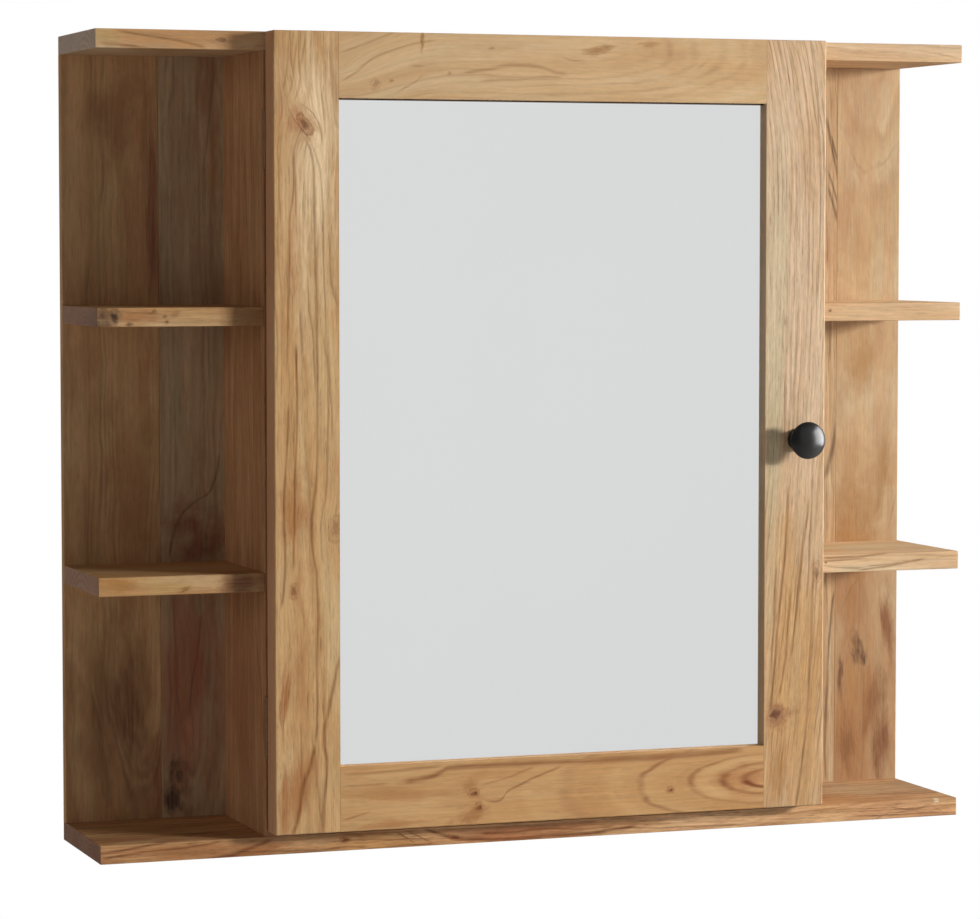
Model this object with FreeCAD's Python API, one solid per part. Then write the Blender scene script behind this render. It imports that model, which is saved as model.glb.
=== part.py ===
import FreeCAD, Part
import math
import os

# Wall mirror cabinet of solid wood: a middle case behind a framed mirror door, with three open
# bays on each side. The origin is the centre of the back, on the wall plane: X runs to the right
# as seen from the front, Y runs into the wall, Z runs up. Millimetres.

# Carcass boards
overall_width = 800.0
overall_height = 700.0
board = 16.0                # thickness of the top, bottom, sides and shelves
carcass_depth = 137.0       # wall plane to the front edges of the boards
case_width = 511.0          # over the outer faces of the two case sides
upper_shelf_top = 468.0     # above the underside of the cabinet
lower_shelf_top = 242.0
board_ease = 0.8            # rounded edge of a board

# Back of upright planks
back_thickness = 10.0
left_end_plank = 86.0
right_end_plank = 64.0
inner_plank_count = 5
plank_ease = 0.5

# Shelves inside the case, on push-in supports
inner_shelf_depth = 88.0
inner_shelf_play = 0.8      # at each end and at the back
support_pin_radius = 2.5
support_pin_length = 9.0
support_tab = 9.0
support_tab_thickness = 2.5
support_inset = 18.0        # from the front and back edges of the shelf

# Hanging rail under the top, with the two holes for the wall screws
hanging_rail_height = 50.0
hanging_rail_thickness = 16.0
wall_hole_radius = 3.0
wall_hole_spacing = 300.0

# Dowels and screws of the carcass
dowel_play = 0.05
case_dowel_radius = 4.0
case_dowel_in_panel = 10.0
case_dowel_in_side = 20.0
case_dowel_inset = 25.0     # from the front and back edges of a case side
shelf_dowel_radius = 3.0
shelf_dowel_in_side = 10.0
shelf_dowel_in_shelf = 18.0
shelf_dowel_inset = 28.0    # from the front and back edges of a side shelf
plank_dowel_radius = 2.5
plank_dowel_in_panel = 10.0
plank_dowel_in_plank = 14.0
screw_play = 0.05
back_screw_radius = 1.75
back_screw_head = 3.4       # radius of the head
back_screw_length = 34.0
back_screw_sink = 0.2       # heads lie this far under the wall face
back_screw_end_inset = 60.0
rail_screw_length = 24.0
rail_screw_inset = 40.0     # from the case sides
shelf_screw_outer_inset = 45.0
shelf_screw_inner_inset = 25.0

# Door frame
door_side_setback = 1.5     # door edge inside the outer face of the case
door_thickness = 24.0
door_gap = 1.5              # between the back of the door and the case
door_foot_gap = 4.5         # above the bottom shelf
stile_width = 57.5
door_rail_width = 56.0
door_ease = 1.4
tenon_length = 30.0
tenon_thickness = 8.0
tenon_shoulder = 10.0
tenon_setback = 7.0         # behind the face of the door
tenon_play = 0.1

# Mirror, its backing and its beads
glass_recess = 7.0          # behind the face of the door
rabbet_width = 8.0
glass_thickness = 4.0
glass_play = 1.0
backing_thickness = 3.0
bead_play = 0.1
brad_radius = 0.6
brad_length = 13.0
brad_end_inset = 40.0
brad_set = 0.3              # heads lie this far under the face of the bead

# Butt hinges on the left edge, with their knuckles in the joint line
hinge_length = 50.0
hinge_end_inset = 65.0      # from the end of the door to the end of the hinge
hinge_leaf_width = 13.0
hinge_leaf_thickness = 1.0
hinge_axis_offset = 0.5     # outside the door edge
knuckle_radius = 1.8
knuckle_count = 5
knuckle_play = 0.2
knuckle_relief = 0.25
pin_radius = 0.9
pin_clearance = 0.05
pin_head_radius = 1.5
pin_head_height = 1.0
pin_head_ease = 0.5
hinge_screw_radius = 1.4
hinge_screw_head = 2.5
hinge_screw_length = 15.0
hinge_screw_row = 7.5       # from the pin axis
hinge_screw_spacing = 17.0

# Magnetic catch inside the case and its strike plate on the door
catch_drop = 95.0           # centre below the underside of the top
catch_width = 12.0
catch_depth = 30.0
catch_height = 16.0
catch_flange_height = 32.0
catch_flange_thickness = 2.0
catch_wall = 2.0
pole_thickness = 1.5
pole_proud = 0.4            # of the front of the housing
strike_gap = 0.3            # between the pole plates and the strike plate
strike_thickness = 1.2
strike_width = 11.0
strike_height = 32.0
strike_screw_spacing = 20.0
catch_screw_radius = 1.4
catch_screw_head = 2.5
catch_screw_length = 11.0
catch_screw_spacing = 24.0

# Knob on the right stile
knob_inset = 26.0           # from the right edge of the door
knob_rise = 348.3           # above the underside of the cabinet
knob_base_radius = 10.0
knob_base_height = 4.0
knob_base_ease = 1.5
knob_neck_radius = 9.6
knob_waist_radius = 9.2
knob_neck_length = 12.4
knob_flare = 3.6            # rise from the neck to the rim
knob_radius = 16.4
knob_rim = 4.0              # height of the rounded rim
knob_dome = 9.0             # height of the crown over the middle of the rim
knob_screw_radius = 2.0
knob_screw_reach = 14.0     # past the face of the door into the knob
knob_screw_head_radius = 3.8
knob_screw_head_height = 2.6
knob_screw_head_ease = 1.0
knob_screw_play = 0.1
knob_counterbore_radius = 5.0
knob_counterbore_depth = 4.0

# Felt bumpers on the back of the right stile
bumper_radius = 5.0
bumper_play = 0.3           # short of the case side when the door is closed
bumper_end_inset = 60.0

# Shape of the cross recess in a screw head, as shares of the head radius and height
recess_reach = 0.6
recess_width = 0.12
recess_depth = 0.6

overshoot = 1.0             # how far a cut runs past the face that it opens

# Places worked out from the sizes above
half_width = overall_width / 2
half_case = case_width / 2
half_inside = half_case - board
floor_z = -overall_height / 2
top_z = overall_height / 2
bay_floor_z = floor_z + board
bay_roof_z = top_z - board
case_front = -carcass_depth
back_front = -back_thickness
inner_shelf_back = back_front - inner_shelf_play
door_back = case_front - door_gap
door_front = door_back - door_thickness
half_door = half_case - door_side_setback
door_bottom = bay_floor_z + door_foot_gap
door_top = top_z
half_opening = half_door - stile_width
opening_bottom = door_bottom + door_rail_width
opening_top = door_top - door_rail_width
glass_front = door_front + glass_recess
glass_back = glass_front + glass_thickness
backing_back = glass_back + backing_thickness
hinge_axis_x = -half_door - hinge_axis_offset
hinge_axis_y = case_front - door_gap / 2
knob_x = half_door - knob_inset
knob_z = floor_z + knob_rise
pole_front = door_back + strike_thickness + strike_gap
catch_front = pole_front + pole_proud
catch_back = catch_front + catch_depth
catch_z = bay_roof_z - catch_drop
strike_x = half_inside - catch_width / 2
wall_hole_z = bay_roof_z - hanging_rail_height / 2
shelf_tops = {"lower": floor_z + lower_shelf_top, "upper": floor_z + upper_shelf_top}
sides = {"left": -1, "right": 1}
back_screw = (back_screw_radius, back_screw_head, back_screw_length)
rail_screw = (back_screw_radius, back_screw_head, rail_screw_length)
hinge_screw = (hinge_screw_radius, hinge_screw_head, hinge_screw_length)
catch_screw = (catch_screw_radius, catch_screw_head, catch_screw_length)

RIGHT = FreeCAD.Vector(1, 0, 0)
BACKWARD = FreeCAD.Vector(0, 1, 0)
FORWARD = FreeCAD.Vector(0, -1, 0)
UP = FreeCAD.Vector(0, 0, 1)


def point(x, y, z):
    """A point in the cabinet's frame."""
    return FreeCAD.Vector(x, y, z)


def box(x0, x1, y0, y1, z0, z1):
    """A box between two values on each axis, given in either order."""
    low = point(min(x0, x1), min(y0, y1), min(z0, z1))
    return Part.makeBox(abs(x1 - x0), abs(y1 - y0), abs(z1 - z0), low)


def rod(radius, start, direction, length):
    """A cylinder that starts at a point and runs along a direction."""
    return Part.makeCylinder(radius, length, start, direction)


def rods(radius, lines, play=0.0):
    """Rods along (start, direction, length) lines or, with play, the holes for them."""
    return [rod(radius + play, start - direction * play, direction, length + 2 * play)
            for start, direction, length in lines]


def eased(solid, radius, seats=()):
    """Round the edges of a solid, apart from those that lie on its seats, given as (axis, value)."""
    def on_seat(edge):
        ends = [vertex.Point for vertex in edge.Vertexes]
        return any(all(abs(end[axis] - value) < 1e-6 for end in ends) for axis, value in seats)
    return solid.makeFillet(radius, [edge for edge in solid.Edges if not on_seat(edge)])


def eased_rim(solid, radius, axis, value):
    """Round the edges of a turned solid that lie across an axis at one value."""
    rim = [edge for edge in solid.Edges
           if abs(edge.BoundBox.Center[axis] - value) < 1e-6 and edge.Closed]
    return solid.makeFillet(radius, rim)


def turned_to(shape, start, direction):
    """Move a shape made along +Z at the origin to a start point and a direction."""
    moved = shape.copy()
    moved.Placement = FreeCAD.Placement(start, FreeCAD.Rotation(UP, direction))
    return moved


def export(name, shapes):
    """Write one node, from a solid or from a group of separate solids."""
    group = shapes if isinstance(shapes, list) else [shapes]
    solids = [solid for shape in group for solid in shape.Solids]
    Part.makeCompound(solids).exportStep("parts/" + name + ".step")


# Screws
def cross_recess(head_radius, head_height):
    """The two slots of a screw head whose face is at the origin, cut along +Z."""
    arm = head_radius * recess_reach
    slot = head_radius * recess_width
    depth = head_height * recess_depth
    return [box(-arm, arm, -slot, slot, -overshoot, depth), box(-slot, slot, -arm, arm, -overshoot, depth)]


def screws(size, places):
    """Flat-head wood screws at (head face, direction) places."""
    radius, head_radius, length = size
    head_height = head_radius - radius
    tip = 2 * radius
    body = Part.makeCone(head_radius, radius, head_height)
    body = body.fuse([rod(radius, UP * head_height, UP, length - head_height - tip),
                      Part.makeCone(radius, radius / 4, tip, UP * (length - tip))])
    screw = body.removeSplitter().cut(cross_recess(head_radius, head_height))
    return [turned_to(screw, start, direction) for start, direction in places]


def screw_holes(size, places):
    """The countersunk holes for such screws, larger by the play all round."""
    radius, head_radius, length = size
    head = Part.makeCone(head_radius + screw_play, radius + screw_play, head_radius - radius)
    mouth = rod(head_radius + screw_play, UP * -overshoot, UP, overshoot)
    shank = rod(radius + screw_play, point(0, 0, 0), UP, length + screw_play)
    hole = shank.fuse([head, mouth])
    return [turned_to(hole, start, direction) for start, direction in places]


# Places of the carcass fasteners
def upright_lines(places, in_panel, in_board):
    """Upright dowel lines at the floor and the roof of the bays, for a list of (x, y)."""
    length = in_panel + in_board
    low = [(point(x, y, bay_floor_z - in_panel), UP, length) for x, y in places]
    high = [(point(x, y, bay_roof_z - in_board), UP, length) for x, y in places]
    return low + high


def case_dowel_lines():
    """Dowels between the case sides and the top and bottom."""
    rows = (back_front - case_dowel_inset, case_front + case_dowel_inset)
    places = [(sign * (half_case - board / 2), y) for sign in sides.values() for y in rows]
    return upright_lines(places, case_dowel_in_panel, case_dowel_in_side)


def plank_edges():
    """The X of each plank edge, from the left end of the back to the right end."""
    first = -half_width + left_end_plank
    last = half_width - right_end_plank
    step = (last - first) / inner_plank_count
    return [-half_width] + [first + step * i for i in range(inner_plank_count + 1)] + [half_width]


def plank_dowel_lines():
    """Dowels between the planks and the top and bottom."""
    edges = plank_edges()
    places = [((x0 + x1) / 2, back_front / 2) for x0, x1 in zip(edges, edges[1:])]
    return upright_lines(places, plank_dowel_in_panel, plank_dowel_in_plank)


def shelf_dowel_lines(sign):
    """Level dowels between one case side and its side shelves."""
    rows = (back_front - shelf_dowel_inset, case_front + shelf_dowel_inset)
    start_x = sign * (half_case - shelf_dowel_in_side)
    return [(point(start_x, y, top - board / 2), RIGHT * sign, shelf_dowel_in_side + shelf_dowel_in_shelf)
            for top in shelf_tops.values() for y in rows]


def back_screw_places():
    """Screws through the back into the case sides and the side shelves."""
    spots = []
    for sign in sides.values():
        for z in (bay_floor_z + back_screw_end_inset, 0.0, bay_roof_z - back_screw_end_inset):
            spots.append((sign * (half_case - board / 2), z))
        for top in shelf_tops.values():
            spots.append((sign * (half_width - shelf_screw_outer_inset), top - board / 2))
            spots.append((sign * (half_case + shelf_screw_inner_inset), top - board / 2))
    return [(point(x, -back_screw_sink, z), FORWARD) for x, z in spots]


def rail_screw_places():
    """Screws through the back into the hanging rail."""
    return [(point(sign * (half_inside - rail_screw_inset), -back_screw_sink, wall_hole_z), FORWARD)
            for sign in sides.values()]


def wall_holes():
    """The two holes for the wall screws, through the hanging rail and the back."""
    length = back_thickness + hanging_rail_thickness + 2 * overshoot
    return [rod(wall_hole_radius, point(x, overshoot, wall_hole_z), FORWARD, length)
            for x in (-wall_hole_spacing / 2, wall_hole_spacing / 2)]


def support_lines(sign):
    """Pins of the shelf supports in one case side, under the corners of the inner shelves."""
    rows = (inner_shelf_back - support_inset, inner_shelf_back - inner_shelf_depth + support_inset)
    drop = board + support_tab_thickness + support_pin_radius
    return [(point(sign * half_inside, y, top - drop), RIGHT * sign, support_pin_length)
            for top in shelf_tops.values() for y in rows]


# Carcass
def full_width_panel(underside):
    """The top panel or the bottom shelf."""
    solid = eased(box(-half_width, half_width, case_front, 0, underside, underside + board), board_ease)
    return solid.cut(rods(case_dowel_radius, case_dowel_lines(), dowel_play)
                     + rods(plank_dowel_radius, plank_dowel_lines(), dowel_play))


def back_planks():
    """The upright planks of the back, edge to edge."""
    seats = [(2, bay_floor_z), (2, bay_roof_z)]
    holes = rods(plank_dowel_radius, plank_dowel_lines(), dowel_play)
    holes += screw_holes(back_screw, back_screw_places()) + screw_holes(rail_screw, rail_screw_places())
    holes += wall_holes()
    edges = plank_edges()
    return [eased(box(x0, x1, back_front, 0, bay_floor_z, bay_roof_z), plank_ease, seats).cut(holes)
            for x0, x1 in zip(edges, edges[1:])]


def case_side(sign):
    """One upright side of the case, with the seats of the hinges or the holes of the catch."""
    seats = [(1, back_front), (2, bay_floor_z), (2, bay_roof_z)]
    solid = box(sign * half_inside, sign * half_case, case_front, back_front, bay_floor_z, bay_roof_z)
    cuts = rods(case_dowel_radius, case_dowel_lines(), dowel_play)
    cuts += rods(shelf_dowel_radius, shelf_dowel_lines(sign), dowel_play)
    cuts += rods(support_pin_radius, support_lines(sign), dowel_play)
    cuts += screw_holes(back_screw, back_screw_places())
    cuts += hinge_seats(1) if sign < 0 else screw_holes(catch_screw, catch_screw_places())
    return eased(solid, board_ease, seats).cut(cuts)


def side_shelf(sign, top):
    """One open side shelf, from the case side to the end of the cabinet."""
    seats = [(0, sign * half_case), (1, back_front)]
    solid = box(sign * half_case, sign * half_width, case_front, back_front, top - board, top)
    return eased(solid, board_ease, seats).cut(rods(shelf_dowel_radius, shelf_dowel_lines(sign), dowel_play)
                                               + screw_holes(back_screw, back_screw_places()))


def hanging_rail():
    """The rail under the top that the wall screws pass through."""
    solid = box(-half_inside, half_inside, back_front - hanging_rail_thickness, back_front,
                bay_roof_z - hanging_rail_height, bay_roof_z)
    return solid.cut(wall_holes() + screw_holes(rail_screw, rail_screw_places()))


def inner_shelf(top):
    """One loose shelf inside the case."""
    half = half_inside - inner_shelf_play
    front = inner_shelf_back - inner_shelf_depth
    return eased(box(-half, half, front, inner_shelf_back, top - board, top), board_ease)


def shelf_supports():
    """The push-in supports: a pin in the case side, a web and a flat tab under the shelf."""
    supports = []
    for sign in sides.values():
        for line in support_lines(sign):
            start = line[0]
            low_y = start.y - support_tab / 2
            high_y = start.y + support_tab / 2
            web_top = start.z + support_pin_radius
            tab = box(start.x, start.x - sign * support_tab, low_y, high_y,
                      web_top, web_top + support_tab_thickness)
            web = box(start.x, start.x - sign * support_tab_thickness, low_y, high_y,
                      start.z - support_pin_radius, web_top)
            pin = rods(support_pin_radius, [line])[0]
            supports.append(pin.fuse([tab, web]).removeSplitter())
    return supports


def shelf_dowels():
    """The level dowels of both sides."""
    return [dowel for sign in sides.values() for dowel in rods(shelf_dowel_radius, shelf_dowel_lines(sign))]


# Hinges: side 1 is the leaf on the case, side -1 the leaf on the door
def hinge_middles():
    """The Z of the middle of each hinge."""
    inset = hinge_end_inset + hinge_length / 2
    return {"lower": door_bottom + inset, "upper": door_top - inset}


def leaf_face(side):
    """The Y of a leaf's face in the gap."""
    return hinge_axis_y + side * door_gap / 2


def hinge_screw_places(middle, side):
    """The three screws of one leaf."""
    return [(point(hinge_axis_x + hinge_screw_row, leaf_face(side), middle + i * hinge_screw_spacing),
             BACKWARD * side) for i in (-1, 0, 1)]


def knuckles(low, side):
    """The knuckles of one leaf, and the reliefs that it needs round those of the other."""
    step = hinge_length / knuckle_count
    own_turn = 0 if side > 0 else 1
    own = []
    reliefs = []
    for i in range(knuckle_count):
        start = point(hinge_axis_x, hinge_axis_y, low + i * step)
        if i % 2 == own_turn:
            own.append(rod(knuckle_radius, start + UP * (knuckle_play / 2), UP, step - knuckle_play))
        else:
            reliefs.append(rod(knuckle_radius + knuckle_relief, start - UP * (knuckle_play / 2), UP,
                               step + knuckle_play))
    return own, reliefs


def hinge_leaf(middle, side):
    """One leaf with its knuckles and screw holes."""
    low = middle - hinge_length / 2
    face = leaf_face(side)
    plate = box(hinge_axis_x, hinge_axis_x + hinge_leaf_width, face,
                face + side * hinge_leaf_thickness, low, low + hinge_length)
    own, reliefs = knuckles(low, side)
    bore = rod(pin_radius + pin_clearance, point(hinge_axis_x, hinge_axis_y, low - overshoot), UP,
               hinge_length + 2 * overshoot)
    leaf = plate.cut(reliefs).fuse(own).removeSplitter()
    return leaf.cut([bore] + screw_holes(hinge_screw, hinge_screw_places(middle, side)))


def hinge_pin(middle):
    """A hinge pin with a rounded head at each end."""
    low = middle - hinge_length / 2
    high = middle + hinge_length / 2
    pin = rod(pin_radius, point(hinge_axis_x, hinge_axis_y, low), UP, hinge_length)
    foot = rod(pin_head_radius, point(hinge_axis_x, hinge_axis_y, low - pin_head_height), UP, pin_head_height)
    head = rod(pin_head_radius, point(hinge_axis_x, hinge_axis_y, high), UP, pin_head_height)
    foot = eased_rim(foot, pin_head_ease, 2, low - pin_head_height)
    head = eased_rim(head, pin_head_ease, 2, high + pin_head_height)
    return pin.fuse([foot, head]).removeSplitter()


def hinge_screws(side):
    """The screws of both case leaves or of both door leaves."""
    return [screw for middle in hinge_middles().values()
            for screw in screws(hinge_screw, hinge_screw_places(middle, side))]


def hinge_seats(side):
    """Cuts in the case side or the stile for the leaves, the knuckles and the screws."""
    face = leaf_face(side)
    spare = knuckle_relief + pin_head_height
    cuts = []
    for middle in hinge_middles().values():
        low = middle - hinge_length / 2
        cuts.append(box(hinge_axis_x - knuckle_radius, hinge_axis_x + hinge_leaf_width + screw_play,
                        face - side * overshoot, face + side * hinge_leaf_thickness,
                        low - screw_play, low + hinge_length + screw_play))
        cuts.append(rod(knuckle_radius + knuckle_relief, point(hinge_axis_x, hinge_axis_y, low - spare), UP,
                        hinge_length + 2 * spare))
        cuts += screw_holes(hinge_screw, hinge_screw_places(middle, side))
    return cuts


# Magnetic catch
def catch_core(x0, x1, front):
    """A box in the pocket of the housing, between two X and from a front to the back wall."""
    half = catch_height / 2 - catch_wall
    return box(x0, x1, front, catch_back - catch_wall, catch_z - half, catch_z + half)


def catch_pocket_sides():
    """The X of the two sides of the pocket in the housing."""
    return half_inside - catch_width + catch_wall, half_inside - catch_wall


def catch_screw_places():
    """The two screws through the flange of the housing."""
    x = half_inside - catch_flange_thickness
    y = (catch_front + catch_back) / 2
    return [(point(x, y, catch_z + i * catch_screw_spacing / 2), RIGHT) for i in (-1, 1)]


def catch_housing():
    """The housing, open at the front, with a flange for its screws."""
    body = box(half_inside - catch_width, half_inside, catch_front, catch_back,
               catch_z - catch_height / 2, catch_z + catch_height / 2)
    flange = box(half_inside - catch_flange_thickness, half_inside, catch_front, catch_back,
                 catch_z - catch_flange_height / 2, catch_z + catch_flange_height / 2)
    pocket = catch_core(*catch_pocket_sides(), catch_front - overshoot)
    return body.fuse(flange).removeSplitter().cut([pocket] + screw_holes(catch_screw, catch_screw_places()))


def catch_poles():
    """The two steel plates beside the magnet, a little proud of the housing."""
    inner, outer = catch_pocket_sides()
    return [catch_core(inner, inner + pole_thickness, pole_front),
            catch_core(outer - pole_thickness, outer, pole_front)]


def catch_magnet():
    """The magnet between the pole plates."""
    inner, outer = catch_pocket_sides()
    return catch_core(inner + pole_thickness, outer - pole_thickness, catch_front)


def strike_screw_places():
    """The two screws of the strike plate."""
    return [(point(strike_x, door_back + strike_thickness, catch_z + i * strike_screw_spacing / 2), FORWARD)
            for i in (-1, 1)]


def strike_plate():
    """The steel plate on the back of the door, in line with the magnet."""
    plate = box(strike_x - strike_width / 2, strike_x + strike_width / 2,
                door_back, door_back + strike_thickness,
                catch_z - strike_height / 2, catch_z + strike_height / 2)
    return plate.cut(screw_holes(catch_screw, strike_screw_places()))


# Door
def rabbet():
    """The step behind the opening that takes the glass, the backing and the beads."""
    return box(-half_opening - rabbet_width, half_opening + rabbet_width, glass_front, door_back + overshoot,
               opening_bottom - rabbet_width, opening_top + rabbet_width)


def tenon(sign, rail_low, play=0.0):
    """The tenon at one end of a rail or, with play, the mortise for it."""
    front = door_front + tenon_setback
    return box(sign * half_opening, sign * (half_opening + tenon_length + play),
               front - play, front + tenon_thickness + play,
               rail_low + tenon_shoulder - play, rail_low + door_rail_width - tenon_shoulder + play)


def door_stile(sign):
    """One upright of the door frame, with its mortises and the seats of its hardware."""
    solid = box(sign * half_opening, sign * half_door, door_front, door_back, door_bottom, door_top)
    cuts = [rabbet(), tenon(sign, door_bottom, tenon_play), tenon(sign, opening_top, tenon_play)]
    cuts += rods(brad_radius, brad_lines(), screw_play)
    if sign < 0:
        cuts += hinge_seats(-1)
    else:
        cuts += knob_holes() + screw_holes(catch_screw, strike_screw_places())
    return eased(solid, door_ease, [(0, sign * half_opening)]).cut(cuts)


def door_rail(rail_low, inner_edge):
    """One level rail of the door frame, with a tenon at each end."""
    seats = [(0, -half_opening), (0, half_opening), (2, inner_edge)]
    solid = box(-half_opening, half_opening, door_front, door_back, rail_low, rail_low + door_rail_width)
    tenons = [tenon(sign, rail_low) for sign in sides.values()]
    solid = eased(solid, door_ease, seats).fuse(tenons).removeSplitter()
    return solid.cut([rabbet()] + rods(brad_radius, brad_lines(), screw_play))


def mirror_sheet(front, thickness):
    """A sheet in the rabbet: the glass or its backing."""
    lap = rabbet_width - glass_play
    return box(-half_opening - lap, half_opening + lap, front, front + thickness,
               opening_bottom - lap, opening_top + lap)


def brad_lines():
    """The two brads of each bead, driven outwards into the frame."""
    y = (backing_back + door_back) / 2
    lines = []
    for sign in sides.values():
        for z in (opening_bottom + brad_end_inset, opening_top - brad_end_inset):
            lines.append((point(sign * (half_opening + brad_set), y, z), RIGHT * sign, brad_length))
        edge = opening_top if sign > 0 else opening_bottom
        for x in (-half_opening + brad_end_inset, half_opening - brad_end_inset):
            lines.append((point(x, y, edge + sign * brad_set), UP * sign, brad_length))
    return lines


def brad_cuts():
    """Holes for the brads in the beads, open at the face of each bead."""
    mouths = [(start - direction * overshoot, direction, overshoot + length)
              for start, direction, length in brad_lines()]
    return rods(brad_radius, mouths, screw_play)


def upright_bead(sign):
    """A wooden bead behind the mirror along one stile."""
    reach = rabbet_width - bead_play
    solid = box(sign * half_opening, sign * (half_opening + reach), backing_back, door_back,
                opening_bottom - reach, opening_top + reach)
    return solid.cut(brad_cuts())


def level_bead(edge, turn):
    """A wooden bead behind the mirror along one rail, between the upright beads."""
    half = half_opening - bead_play
    solid = box(-half, half, backing_back, door_back, edge, edge + turn * (rabbet_width - bead_play))
    return solid.cut(brad_cuts())


# Knob
def knob_holes():
    """The screw hole and the counterbore for the knob in the right stile."""
    through = rod(knob_screw_radius + knob_screw_play, point(knob_x, door_front - overshoot, knob_z),
                  BACKWARD, door_thickness + 2 * overshoot)
    counterbore = rod(knob_counterbore_radius, point(knob_x, door_back - knob_counterbore_depth, knob_z),
                      BACKWARD, knob_counterbore_depth + overshoot)
    return [through, counterbore]


def knob_base():
    """The round base between the door and the knob."""
    disc = rod(knob_base_radius, point(knob_x, door_front, knob_z), FORWARD, knob_base_height)
    disc = eased_rim(disc, knob_base_ease, 1, door_front - knob_base_height)
    hole = rod(knob_screw_radius + knob_screw_play, point(knob_x, door_front + overshoot, knob_z), FORWARD,
               knob_base_height + 2 * overshoot)
    return disc.cut(hole)


def knob_outline():
    """Half of the knob's section: a waisted neck, a rounded rim and a low dome that runs smoothly into it."""
    rim_radius = knob_rim / 2
    rim_height = knob_neck_length + knob_flare + rim_radius
    crown = rim_height + knob_dome
    shoulder = knob_radius - rim_radius
    dome_radius = (shoulder ** 2 + knob_dome ** 2 - rim_radius ** 2) / (2 * (knob_dome - rim_radius))
    dome_height = crown - dome_radius
    lean = math.atan2(shoulder, rim_height - dome_height)
    rim_lean = (math.pi + lean) / 2
    foot = point(knob_neck_radius, 0, 0)
    waist = point(knob_waist_radius, 0, knob_neck_length / 2)
    neck_end = point(knob_neck_radius, 0, knob_neck_length)
    rim_low = point(shoulder, 0, rim_height - rim_radius)
    rim_middle = point(shoulder + rim_radius * math.sin(rim_lean), 0,
                       rim_height + rim_radius * math.cos(rim_lean))
    rim_end = point(shoulder + rim_radius * math.sin(lean), 0, rim_height + rim_radius * math.cos(lean))
    dome_middle = point(dome_radius * math.sin(lean / 2), 0, dome_height + dome_radius * math.cos(lean / 2))
    edges = [Part.LineSegment(point(0, 0, 0), foot), Part.Arc(foot, waist, neck_end),
             Part.LineSegment(neck_end, rim_low), Part.Arc(rim_low, rim_middle, rim_end),
             Part.Arc(rim_end, dome_middle, point(0, 0, crown)),
             Part.LineSegment(point(0, 0, crown), point(0, 0, 0))]
    return Part.Face(Part.Wire([edge.toShape() for edge in edges]))


def knob_head():
    """The turned knob, with the hole for its screw."""
    solid = knob_outline().revolve(point(0, 0, 0), UP, 360)
    hole = rod(knob_screw_radius + screw_play, UP * -overshoot, UP,
               overshoot + knob_screw_reach - knob_base_height + screw_play)
    return turned_to(solid.cut(hole), point(knob_x, door_front - knob_base_height, knob_z), FORWARD)


def knob_screw():
    """The machine screw that holds the knob from behind the door, made along +Z from its head."""
    length = door_thickness - knob_counterbore_depth + knob_screw_reach
    head = eased_rim(rod(knob_screw_head_radius, point(0, 0, 0), UP, knob_screw_head_height),
                     knob_screw_head_ease, 2, 0.0)
    shank = rod(knob_screw_radius, UP * knob_screw_head_height, UP, length)
    screw = head.fuse(shank).removeSplitter()
    screw = screw.cut(cross_recess(knob_screw_head_radius, knob_screw_head_height))
    head_face = door_back - knob_counterbore_depth + knob_screw_head_height
    return turned_to(screw, point(knob_x, head_face, knob_z), FORWARD)


def door_bumpers():
    """Two felt discs that meet the front edge of the right case side."""
    x = half_case - board / 2
    return [rod(bumper_radius, point(x, door_back, z), BACKWARD, door_gap - bumper_play)
            for z in (door_bottom + bumper_end_inset, door_top - bumper_end_inset)]


def export_carcass():
    """Write the boards of the cabinet and what joins them."""
    export("top_panel", full_width_panel(bay_roof_z))
    export("bottom_shelf", full_width_panel(floor_z))
    for number, plank in enumerate(back_planks(), start=1):
        export("back_plank_%d" % number, plank)
    for side, sign in sides.items():
        export("case_side_" + side, case_side(sign))
        for level, top in shelf_tops.items():
            export("%s_shelf_%s" % (side, level), side_shelf(sign, top))
    for level, top in shelf_tops.items():
        export("inner_shelf_" + level, inner_shelf(top))
    export("hanging_rail", hanging_rail())
    export("shelf_supports", shelf_supports())
    export("case_dowels", rods(case_dowel_radius, case_dowel_lines()))
    export("plank_dowels", rods(plank_dowel_radius, plank_dowel_lines()))
    export("shelf_dowels", shelf_dowels())
    export("back_screws", screws(back_screw, back_screw_places()))
    export("rail_screws", screws(rail_screw, rail_screw_places()))


def export_hardware():
    """Write the hinges and the catch."""
    for level, middle in hinge_middles().items():
        export("hinge_%s_case_leaf" % level, hinge_leaf(middle, 1))
        export("hinge_%s_door_leaf" % level, hinge_leaf(middle, -1))
        export("hinge_%s_pin" % level, hinge_pin(middle))
    export("hinge_case_screws", hinge_screws(1))
    export("hinge_door_screws", hinge_screws(-1))
    export("catch_housing", catch_housing())
    export("catch_magnet", catch_magnet())
    export("catch_poles", catch_poles())
    export("catch_screws", screws(catch_screw, catch_screw_places()))
    export("strike_plate", strike_plate())
    export("strike_screws", screws(catch_screw, strike_screw_places()))


def export_door():
    """Write the door frame, the mirror and the knob."""
    for side, sign in sides.items():
        export("door_stile_" + side, door_stile(sign))
        export("mirror_bead_" + side, upright_bead(sign))
    export("door_rail_top", door_rail(opening_top, opening_top))
    export("door_rail_bottom", door_rail(door_bottom, opening_bottom))
    export("mirror_glass", mirror_sheet(glass_front, glass_thickness))
    export("mirror_backing", mirror_sheet(glass_back, backing_thickness))
    export("mirror_bead_top", level_bead(opening_top, 1))
    export("mirror_bead_bottom", level_bead(opening_bottom, -1))
    export("bead_brads", rods(brad_radius, brad_lines()))
    export("knob_base", knob_base())
    export("knob_head", knob_head())
    export("knob_screw", knob_screw())
    export("door_bumpers", door_bumpers())


os.makedirs("parts", exist_ok=True)
export_carcass()
export_hardware()
export_door()
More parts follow.
